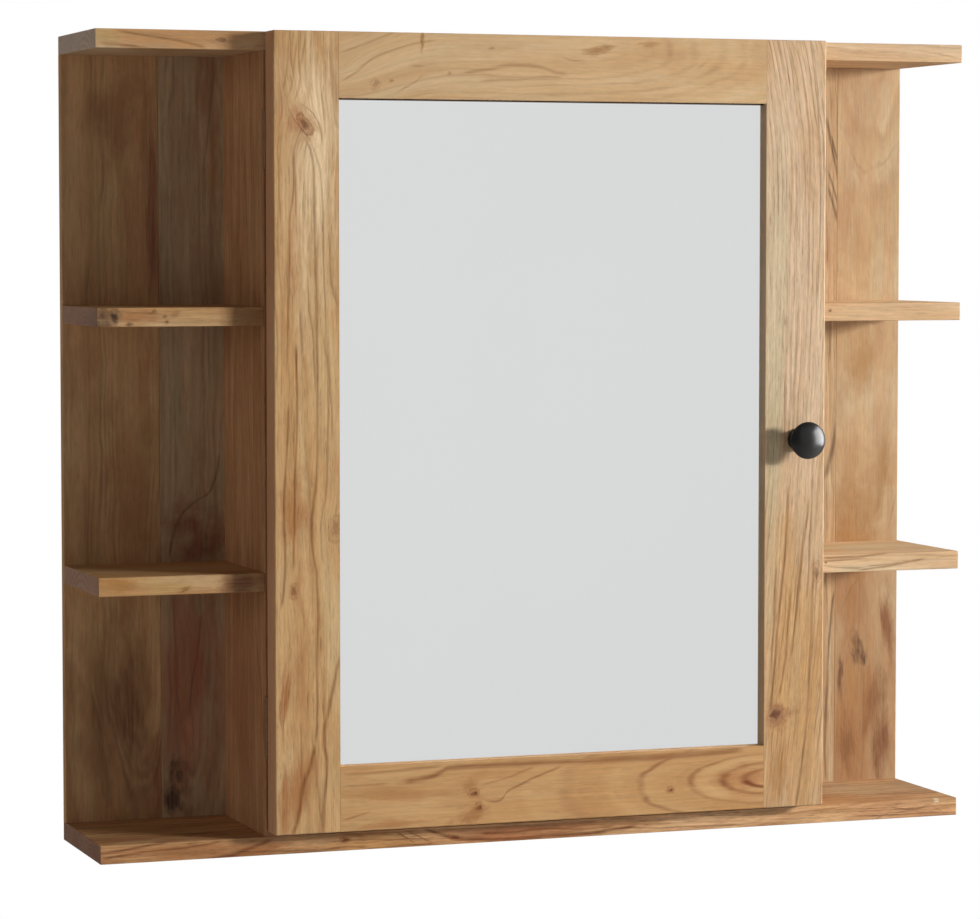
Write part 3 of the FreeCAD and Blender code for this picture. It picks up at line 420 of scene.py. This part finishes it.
# flat boards of the carcass, placed by side and height on their front edges
flatBoards = {
    "top_panel": {
        "tone": {**blush, "end": "C4AC9E"}, "pith": 300, "plunge": ((-400, 40), (400, 60)), "ring": 5.5,
        "seed": 31, "fibre": 0.36, "pores": 0.2, "lines": 0.3, "stainAndLight": (1.05, 1.08, 1.1),
        "veins": [(1.8, 0.9, [(-402, 339), (-380, 337), (-355, 334)]),
                  (2.0, 0.95, [(-385, 349), (-350, 344), (-330, 341), (-315, 338), (-300, 334)]),
                  (1.3, 0.4, [(-360, 348), (-335, 344), (-318, 341)]),
                  (1.4, 0.4, [(350, 345), (380, 341), (402, 336)])],
        "knots": [((-292, 342), (8, 4), 0, 0.8, 0.2)],
        "patches": [((330, 342), (140, 30), 0, "C8A078", 0.5), ((-330, 342), (120, 34), 0, "BC8856", 0.9),
                    ((-392, 342), (18, 12), 0, "B99A62", 0.7)]},
    "bottom_shelf": {
        "tone": russet, "pith": -370, "plunge": ((-400, 30), (400, 40)), "ring": 3.6, "seed": 34,
        "lines": 0.6, "pores": 0.5, "blotch": 0.5, "fibre": 0.65, "fleck": 0.4, "wander": 4.0,
        "stainAndLight": (1.12, 1.09, 1.07),
        "veins": [(1.9, 0.95, [(-404, -341), (-380, -338.5), (-360, -336), (-335, -333)]),
                  (1.9, 0.8, [(-404, -346), (-380, -343), (-350, -340.5), (-320, -339), (-290, -335)]),
                  (3.6, 0.9, [(-312, -351), (-290, -348.5), (-275, -345), (-260, -340), (-245, -335)]),
                  (1.6, 0.6, [(-182, -339), (-172, -338), (-162, -344)]),
                  (1.8, 0.6, [(-250, -350), (-200, -348), (-185, -346.5), (-160, -350)]),
                  (1.6, 0.8, [(-145, -333), (-130, -341), (-117, -351)]),
                  (1.5, 0.7, [(-135, -333), (-118, -341), (-100, -351)]),
                  (2.8, 1.0, [(-116, -334), (-100, -340), (-90, -343), (-80, -345.5), (-60, -347),
                              (-40, -348), (0, -347.5), (40, -347), (60, -345.5), (90, -343)]),
                  (2.0, 0.8, [(-65, -340.5), (-40, -342), (0, -341), (30, -342.5), (70, -341)]),
                  (1.7, 0.65, [(70, -344), (120, -346), (190, -347.5)]),
                  (1.2, 0.35, [(80, -339), (130, -340), (180, -341)]),
                  (1.6, 0.75, [(312, -352), (325, -347), (336, -342)]),
                  (1.6, 0.5, [(325, -336), (345, -341), (355, -342.5), (365, -341), (380, -337)]),
                  (1.4, 0.45, [(235, -339.5), (280, -337), (315, -333.5)]),
                  (1.4, 0.5, [(372, -338), (382, -344), (392, -350)])],
        "knots": [((-184, -340.5), (5.5, 2.6), 0, 1.0, 0.2), ((-84, -344), (7, 2.8), -10, 0.9, 0.2)],
        "patches": [((-155, -343), (58, 14), 0, "C2945F", 0.9), ((-260, -346), (40, 8), 8, "8A5228", 0.6),
                    ((-320, -343), (120, 20), 0, "9A6238", 0.8),
                    ((-30, -341), (110, 18), 0, "975C3C", 0.75), ((150, -340), (130, 16), 0, "D6B288", 0.9),
                    ((340, -341), (90, 14), 0, "C89B70", 0.8),
                    ((379.6, -334, -137), (4.5, 8, 7), 0, "E2CDAE", 1.0),
                    ((330, -334, -60), (150, 24, 90), 0, "AE9A7C", 0.85),
                    # painted light: this pale streak along the upper front edge, under the door, offsets the
                    # door's cast shadow
                    ((-30, -333), (330, 8), 0, "DDB588", 1.0)]},
    "left_shelf_upper": {
        "tone": honey, "stainAndLight": (0.99, 0.94, 0.93), "pith": 60, "plunge": ((-400, 40), (-256, 50)),
        "ring": 5.0, "seed": 37, "fibre": 0.4, "pores": 0.2,
        "knots": [((-340, 106), (2.4, 2), 0, 0.8, 0.2)],
        "patches": [((-365, 110), (32, 14), 0, "B07A4A", 0.8), ((-394, 110), (19, 24), 0, "56422F", 1.0),
                    ((-384, 112), (8, 9), 0, "3A2A1E", 1.0), ((-372, 104), (6, 3), 0, "6A4A30", 0.9),
                    ((-352, 115), (6, 3), 40, "7A5638", 0.9), ((-341, 111), (5, 3), 0, "5E422C", 0.9),
                    ((-322, 111), (26, 10), 0, "C9A470", 0.7), ((-333, 113), (9, 5), 40, "8A6038", 0.5),
                    # painted shade: the browner end next to the door stands in for the door's shadow
                    ((-268, 110), (30, 24), 0, "A0734A", 0.8)]},
    "left_shelf_lower": {
        "tone": honey, "stainAndLight": (1.05, 1.0, 0.99), "pith": -160, "plunge": ((-400, 60), (-256, 70)),
        "ring": 6.5, "seed": 40, "lines": 0.2, "pores": 0.12, "fibre": 0.3,
        "patches": [((-386, -113), (34, 12), 0, "A9793F", 0.8), ((-340, -115), (40, 12), 0, "BFA068", 0.7),
                    ((-325, -119.5), (9, 3.4), 20, "86642F", 0.9),
                    # painted shade: the browner end next to the door stands in for the door's shadow
                    ((-270, -116), (40, 24), 0, "86583A", 1.0)]},
    "right_shelf_upper": {
        "tone": blush, "stainAndLight": (1.03, 1.05, 1.05), "pith": 60, "plunge": ((256, 60), (400, 70)),
        "ring": 7.0, "seed": 43, "lines": 0.15, "pores": 0.1, "fibre": 0.4,
        "knots": [((270.3, 111.4), (2.3, 1.9), 0, 1.2, 0.2)],
        "patches": [((380, 105), (40, 5), 0, "DDAE80", 0.6), ((275, 117), (24, 4), 0, "C89A70", 0.6)]},
    "right_shelf_lower": {
        "tone": blush, "stainAndLight": (1.03, 1.06, 1.06), "pith": -160, "plunge": ((256, 40), (400, 50)),
        "ring": 5.0, "seed": 46, "lines": 0.3, "pores": 0.2,
        "veins": [(1.6, 0.95, [(258, -110), (295, -110.5), (315, -109.5), (335, -107)]),
                  (1.4, 0.75, [(258, -113), (285, -112.5), (310, -111.5)]),
                  (1.7, 0.9, [(295, -123), (330, -119.5), (350, -116.5), (370, -114)]),
                  (1.3, 0.7, [(305, -120), (330, -118), (350, -117)]),
                  (1.4, 0.7, [(262, -117), (290, -120), (310, -121)])],
        "knots": [((267.8, -114.5), (1.8, 1.6), 0, 1.2, 0.2)],
        "patches": [((330, -108, -72), (110, 12, 60), 0, "C6B694", 0.7)]},
    "inner_shelf_upper": {"tone": honey, "pith": 60, "face": -98, "ring": 6.0, "seed": 49},
    "inner_shelf_lower": {"tone": honey, "pith": -160, "face": -98, "ring": 6.0, "seed": 52},
}
for name, look in flatBoards.items():
    boardWood(name, {"lay": "XZY", "face": -137, **look})
boardWood("hanging_rail", {"tone": umber, "lay": "XZY", "face": -26, "pith": 330, "ring": 5.0, "seed": 55})

# upright boards of the back and the case, placed by height and side
uprightBoards = {
    # the back planks' stain factors also paint light: raised on planks 1 to 5, which stand in shade, and
    # lowered on planks 6 and 7, which the key lamp lights
    "back_plank_1": {
        "tone": umber, "pith": -338, "plunge": ((-400, 52), (-200, 0)), "ring": 7.0, "seed": 61,
        "wander": 12.0, "warp": 16.0, "lines": 0.2, "fibre": 0.26, "fleck": 0.2, "pores": 0.1, "hue": 0.5,
        "bands": 0.4, "stainAndLight": (1.34, 1.34, 1.33),
        "hoops": [(27.8, 3.0, 0.5), (23.5, 2.4, 0.35), (17, 2.0, 0.3), (38, 2.8, 0.3)],
        "patches": [((-300, -320), (60, 18), 0, "7A4A2E", 0.7), ((-250, -345), (150, 40), 0, "6C462C", 1.0),
                    ((-225, -372), (130, 34), 0, "7A5436", 0.8), ((-30, -340), (90, 34), 0, "8A5A34", 0.6),
                    ((215, -320), (150, 14), 0, "74402A", 0.9), ((290, -350), (70, 44), 0, "7C4E34", 0.6),
                    ((180, -360), (70, 20), 0, "A98E60", 0.6)]},
    "back_plank_2": {
        "tone": slate, "stainAndLight": (1.6, 1.64, 1.64), "pith": -288, "bands": 0.4,
        "plunge": ((-460, 60), (-250, 0)), "ring": 6.5, "seed": 64, "wander": 12.0, "warp": 16.0,
        "lines": 0.2, "fibre": 0.26, "fleck": 0.2, "pores": 0.1,
        "hoops": [(18, 3.0, 0.4), (12.5, 2.4, 0.35), (25, 2.8, 0.3)],
        "veins": [(2.4, 0.7, [(-110, -307), (-85, -302), (-70, -297), (-55, -282), (-45, -268), (-10, -260)]),
                  (1.8, 0.6, [(-245, -289), (-215, -286), (-190, -281), (-150, -277)]),
                  (1.8, 0.55, [(-245, -296), (-220, -300), (-180, -301), (-130, -304)]),
                  (1.8, 0.5, [(190, -268), (220, -274), (260, -270), (330, -262)])],
        "knots": [((-298, -297), (14, 7), 0, 0.9, 0.2)],
        "patches": [((-210, -285), (190, 60), 0, "86523A", 1.0), ((-78, -280), (46, 44), 30, "724030", 1.0),
                    ((-262, -284), (44, 16), 0, "A5765A", 0.7), ((-316, -303), (24, 14), 0, "3E281E", 1.0),
                    ((-290, -302), (16, 9), 20, "43291E", 0.9), ((-28, -302), (50, 14), 0, "9C8468", 0.7),
                    ((40, -300), (60, 14), 0, "8A8064", 0.5), ((300, -268), (70, 20), 0, "805034", 0.7),
                    ((225, -262), (60, 14), 0, "96683E", 0.6)]},
    "back_plank_3": {"tone": umber, "stainAndLight": (1.3, 1.3, 1.3), "pith": -120,
                     "plunge": ((-334, 10), (334, 50)), "ring": 6.0, "seed": 67},
    "back_plank_4": {"tone": honey, "stainAndLight": (1.3, 1.3, 1.3), "pith": 10, "plunge": ((-334, 50), (334, 16)),
                     "ring": 6.0, "seed": 70},
    "back_plank_5": {"tone": umber, "stainAndLight": (1.3, 1.3, 1.3), "pith": 150,
                     "plunge": ((-334, 10), (334, 40)), "ring": 6.0, "seed": 73},
    "back_plank_6": {
        "tone": {**blush, "line": "62432A"}, "arris": 0.1, "stainAndLight": (0.79, 0.79, 0.75), "pith": 250,
        "plunge": ((-334, 40), (334, 60)), "ring": 4.5, "seed": 76,
        "veins": [(2.2, 0.9, [(-338, 328), (-280, 327), (-230, 329), (-190, 331), (-150, 336)]),
                  (4.0, 0.85, [(-52, 325), (-30, 330), (-10, 335), (15, 338)]),
                  (2.6, 0.9, [(180, 341), (205, 333), (228, 325)]),
                  (2.6, 0.95, [(208, 342), (240, 335), (265, 329), (292, 324)]),
                  (2.4, 0.9, [(228, 342), (255, 334), (280, 326)]),
                  (2.0, 0.8, [(192, 342), (222, 332), (244, 324)]),
                  (1.8, 0.7, [(60, 329), (90, 330), (110, 329)])],
        "patches": [((165, 327), (26, 7), 0, "BE7E5A", 0.7)]},
    "back_plank_7": {
        "tone": blush, "arris": 0.1, "stainAndLight": (0.79, 0.8, 0.76), "pith": 372,
        "plunge": ((-60, 212), (340, 0)), "ring": 14.0, "seed": 79, "lines": 0.08, "blotch": 0.5,
        "fibre": 0.2, "fleck": 0.2, "pores": 0.08, "wander": 14.0, "bands": 0.6, "warp": 24.0,
        "hoops": [(49, 2.4, 0.3), (36, 5.0, 0.18), (63, 6.0, 0.16)],
        "veins": [(2.2, 0.85, [(-228, 362), (-216, 359), (-208, 357), (-190, 357)]),
                  (1.8, 0.75, [(-226, 369), (-206, 369)]),
                  (2.2, 0.6, [(-250, 339), (-236, 341), (-224, 341)]),
                  (1.8, 0.45, [(-340, 364), (-280, 366), (-225, 366)]),
                  (1.8, 0.45, [(-172, 344), (-155, 351), (-138, 366)]),
                  (1.5, 0.5, [(-98, 391), (-80, 395), (-60, 399)])],
        "patches": [((-250, 366), (200, 84), 0, "B07A4C", 1.0), ((-185, 391), (50, 11), -4, "854A26", 0.9),
                    ((-212, 361), (24, 10), -20, "5E3E2C", 1.0), ((-220, 369), (9, 3), 0, "50362A", 1.0),
                    ((-238, 341), (30, 6), 0, "6E4A34", 1.0), ((-300, 386), (60, 12), 0, "7E4C2C", 0.9),
                    ((-245, 356), (40, 9), -6, "BE8C58", 0.8), ((-260, 380), (50, 16), 10, "8A5A36", 0.8),
                    ((-300, 350), (40, 14), -8, "8C5E38", 0.8), ((-85, 366), (70, 50), 0, "B07C44", 0.9),
                    ((-40, 385), (60, 14), 6, "A87844", 0.7), ((60, 362), (40, 20), -8, "B8884E", 0.7),
                    ((155, 360), (40, 24), 0, "C89E6E", 0.5), ((215, 384), (30, 16), 0, "C39A70", 0.5),
                    ((310, 366), (50, 36), 0, "C09670", 0.5), ((-30, 350), (60, 14), 10, "B88A5A", 0.5)]},
}
for name, look in uprightBoards.items():
    boardWood(name, {"lay": "ZXY", "face": -10, **look})
caseSides = {
    "case_side_left": {"tone": russet, "stainAndLight": (0.84, 0.73, 0.73), "lines": 0.15, "bands": 0.4,
                       "face": -255.5, "pith": -70, "plunge": ((-334, 30), (334, 50)), "seed": 85,
                       "wander": 12.0, "fibre": 0.4, "fleck": 0.3,
                       "patches": [((-240, -70), (130, 90), 0, "94644A", 0.5)],
                       "veins": [(2.6, 0.5, [(-260, -134), (-210, -124), (-180, -115), (-150, -106)])]},
    "case_side_right": {"tone": honey, "face": 255.5, "pith": -70, "plunge": ((-334, -40), (334, -30)),
                        "seed": 88},
}
for name, look in caseSides.items():
    boardWood(name, {"lay": "ZYX", "ring": 4.5, **look})
for name, lay in (("case_dowels", "ZXY"), ("plank_dowels", "ZXY"), ("shelf_dowels", "XYZ")):
    boardWood(name, {"tone": blush, "lay": lay, "face": 0, "ring": 3.0, "seed": 91})
print("carcass dressed")


# metals and small pieces: two colours, grain per metre, two roughnesses, depth of the bump in metres
def mottled(name, colours, grain, rough, depth, metallic=0.0, gloss=0.5, pieces=()):
    made, tree, shader = freshMaterial(name)
    place = put(tree, "TexCoord").outputs["Object"]
    inputs = {"Vector": place, "Scale": grain, "Detail": 4.0, "Roughness": 0.6}
    mottle = put(tree, "TexNoise", inputs).outputs[0]
    first, second = [tint(code) for code in colours]
    tree.links.new(blend(tree, ease(tree, mottle, 0.38, 0.64), first, second), shader.inputs["Base Color"])
    tree.links.new(ease(tree, mottle, 0.3, 0.7, *rough), shader.inputs["Roughness"])
    bump = put(tree, "Bump", {"Height": mottle, "Strength": 0.3, "Distance": depth})
    tree.links.new(bump.outputs[0], shader.inputs["Normal"])
    shader.inputs["Metallic"].default_value = metallic
    shader.inputs["Specular IOR Level"].default_value = gloss
    dress(made, *pieces)
    return made


hingePieces = ["hinge_%s_%s" % (level, part) for level in ("lower", "upper")
               for part in ("case_leaf", "door_leaf", "pin")]
finishes = {
    "black_enamel": {"colours": ("151413", "1D1B1A"), "grain": 700, "rough": (0.28, 0.33), "depth": 0.00001,
                     "gloss": 0.36, "pieces": ["knob_base", "knob_head"]},
    "aged_bronze": {"colours": ("7E5C3C", "8E6A46"), "grain": 600, "rough": (0.42, 0.55), "depth": 0.00005,
                    "metallic": 0.25, "pieces": [*hingePieces, "hinge_case_screws", "hinge_door_screws"]},
    "zinc_plate": {"colours": ("B4B4B0", "C8C8C4"), "grain": 700, "rough": (0.28, 0.42), "depth": 0.00004,
                   "metallic": 1.0,
                   "pieces": ["back_screws", "rail_screws", "catch_screws", "strike_screws", "bead_brads",
                              "knob_screw", "strike_plate", "catch_poles", "shelf_supports"]},
    "brown_plastic": {"colours": ("3B2417", "452B1C"), "grain": 1500, "rough": (0.42, 0.55), "depth": 0.00005,
                      "pieces": ["catch_housing"]},
    "dark_magnet": {"colours": ("262626", "303030"), "grain": 1200, "rough": (0.5, 0.7), "depth": 0.0001,
                    "pieces": ["catch_magnet"]},
    "hardboard": {"colours": ("5A3F2B", "6A4C35"), "grain": 500, "rough": (0.7, 0.85), "depth": 0.0002,
                  "pieces": ["mirror_backing"]},
    "brown_felt": {"colours": ("4A3527", "5B4331"), "grain": 2500, "rough": (0.9, 1.0), "depth": 0.0004,
                   "pieces": ["door_bumpers"]},
    "silvered_glass": {"colours": ("F4F5F5", "F5F6F6"), "grain": 3, "rough": (0.0, 0.008), "depth": 0.0,
                       "metallic": 1.0, "pieces": ["mirror_glass"]},
}
paints = {name: mottled(name, **finish) for name, finish in finishes.items()}

# painted shadow: a dark line painted along the top of the glass, under the top rail, stands in for the rail's
# shadow
topShadowLine = {"colour": "4A3A2C", "height": (0.2922, 0.2930)}
tree = paints["silvered_glass"].node_tree
silver = shaderOf(paints["silvered_glass"]).inputs["Base Color"]
height = put(tree, "SeparateXYZ", {0: put(tree, "TexCoord").outputs["Object"]}).outputs[2]
plain, dark = silver.links[0].from_socket, ease(tree, height, *topShadowLine["height"])
tree.links.new(blend(tree, dark, plain, tint(topShadowLine["colour"])), silver)
print("hardware dressed")

# camera at the photograph's station: a long lens to the left of the middle, a little above it
shot = {"place": (-1.1082, -3.1087, 0.1762), "heading": -0.3414, "dip": -0.0607, "focal": 3644.4, "wide": 980}
lens = bpy.data.cameras.new("camera")
lens.sensor_width = 36.0
lens.lens = lens.sensor_width * shot["focal"] / shot["wide"]
lens.clip_start, lens.clip_end = 0.05, 60.0
camera = bpy.data.objects.new("camera", lens)
bpy.context.scene.collection.objects.link(camera)
level = math.cos(shot["dip"])
sight = Vector((-math.sin(shot["heading"]) * level, math.cos(shot["heading"]) * level, math.sin(shot["dip"])))
camera.location = shot["place"]
camera.rotation_euler = sight.to_track_quat("-Z", "Y").to_euler()
bpy.context.scene.camera = camera

# studio: a soft key low on the right, one over the right end, weak fills from the left and the front,
# a rear light for the back and a dim pale room
studio = {"aim": (0.0, -0.12, 0.0), "bounce": 0.5, "room": 0.055, "sheen": 0.15, "card": 0.73,
          "window": 14.0, "windowEdge": 0.4, "windowFade": (-2.04, -1.2)}
softboxes = {
    "key": {"way": (0.76, -0.626, 0.175), "far": 3.65, "size": (0.75, 0.45), "power": 118.0},
    "overhead": {"way": (0.55, -0.12, 0.83), "far": 3.0, "size": (1.0, 1.0), "power": 30.0},
    "fill": {"way": (-0.98, -0.20, 0.06), "far": 3.7, "size": (2.0, 2.0), "power": 26.0},
    "front": {"way": (0.0, -0.97, -0.25), "far": 4.0, "size": (2.5, 1.5), "power": 6.5},
    "rear": {"way": (0.0, 0.97, 0.20), "far": 4.0, "size": (2.0, 2.0), "power": 40.0},
}
aim = Vector(studio["aim"])
for name, box in softboxes.items():
    lamp = bpy.data.lights.new(name, "AREA")
    lamp.shape, lamp.size, lamp.size_y, lamp.energy = "RECTANGLE", *box["size"], box["power"]
    holder = bpy.data.objects.new(name, lamp)
    bpy.context.scene.collection.objects.link(holder)
    way = Vector(box["way"]).normalized()
    holder.location = aim + way * box["far"]
    holder.rotation_euler = (-way).to_track_quat("-Z", "Y").to_euler()
    holder.visible_glossy = False                            # gloss comes from the cards below

world = bpy.data.worlds.new("room")
bpy.context.scene.world = world
world.use_nodes = True
room = world.node_tree
room.nodes.clear()
ray = put(room, "LightPath").outputs
dim = slide(room, ray["Is Glossy Ray"], 0.0, 1.0, studio["room"], studio["sheen"])
strength = slide(room, ray["Is Camera Ray"], 0.0, 1.0, dim, 1.0)
glow = put(room, "Background", {"Color": (1, 1, 1, 1), "Strength": strength})
room.links.new(glow.outputs[0], put(room, "OutputWorld").inputs[0])

sheets = {                                                   # corners of the floor and of the two cards
    "floor": [(-2.2, -2.9, -0.85), (2.2, -2.9, -0.85), (-2.2, 0.9, -0.85), (2.2, 0.9, -0.85)],
    "grey_card": [(-3.5, -5, -3.2), (5.5, -5, -3.2), (-3.5, -5, 12), (5.5, -5, 12)],
    "window_card": [(1.43, -2.04, -0.5), (2.36, 0.34, -0.5), (1.43, -2.04, 1.4), (2.36, 0.34, 1.4)],
}


def stagePlane(name, paint):
    bpy.ops.object.select_all(action="DESELECT")
    bpy.ops.mesh.primitive_plane_add(size=1.0)
    sheet = bpy.context.object
    sheet.name = name
    for corner, place in zip(sheet.data.vertices, sheets[name]):
        corner.co = place
    sheet.data.materials.append(paint)
    return sheet


def glowPaint(name, strength):
    made, tree, shader = freshMaterial(name)
    shader.inputs["Base Color"].default_value = (0, 0, 0, 1)
    shader.inputs["Emission Color"].default_value = (1, 1, 1, 1)
    shader.inputs["Emission Strength"].default_value = strength
    return made


# the floor sends back half its light, so undersides stay dark
floorPaint = mottled("pale_floor", ("EDECEA", "F2F1EF"), 6, (0.6, 0.75), 0.0002)
tree, shade = floorPaint.node_tree, shaderOf(floorPaint).inputs["Base Color"]
bounce = slide(tree, put(tree, "LightPath").outputs["Is Diffuse Ray"], 0.0, 1.0, 1.0, studio["bounce"])
tree.links.new(blend(tree, 1.0, shade.links[0].from_socket, bounce, "MULTIPLY"), shade)
stagePlane("floor", floorPaint)

# cards seen only in gloss and in the mirror; the window fades at its near end
windowPaint = glowPaint("window_card", studio["window"])
tree = windowPaint.node_tree
nearness = put(tree, "SeparateXYZ", {0: put(tree, "TexCoord").outputs["Object"]}).outputs[1]
fading = ease(tree, nearness, *studio["windowFade"], studio["windowEdge"], studio["window"])
tree.links.new(fading, shaderOf(windowPaint).inputs["Emission Strength"])
for name, paint in (("grey_card", glowPaint("grey_card", studio["card"])), ("window_card", windowPaint)):
    sheet = stagePlane(name, paint)
    sheet.visible_camera = sheet.visible_diffuse = sheet.visible_shadow = False
bpy.context.scene.view_settings.view_transform = "Standard"
print("studio set")
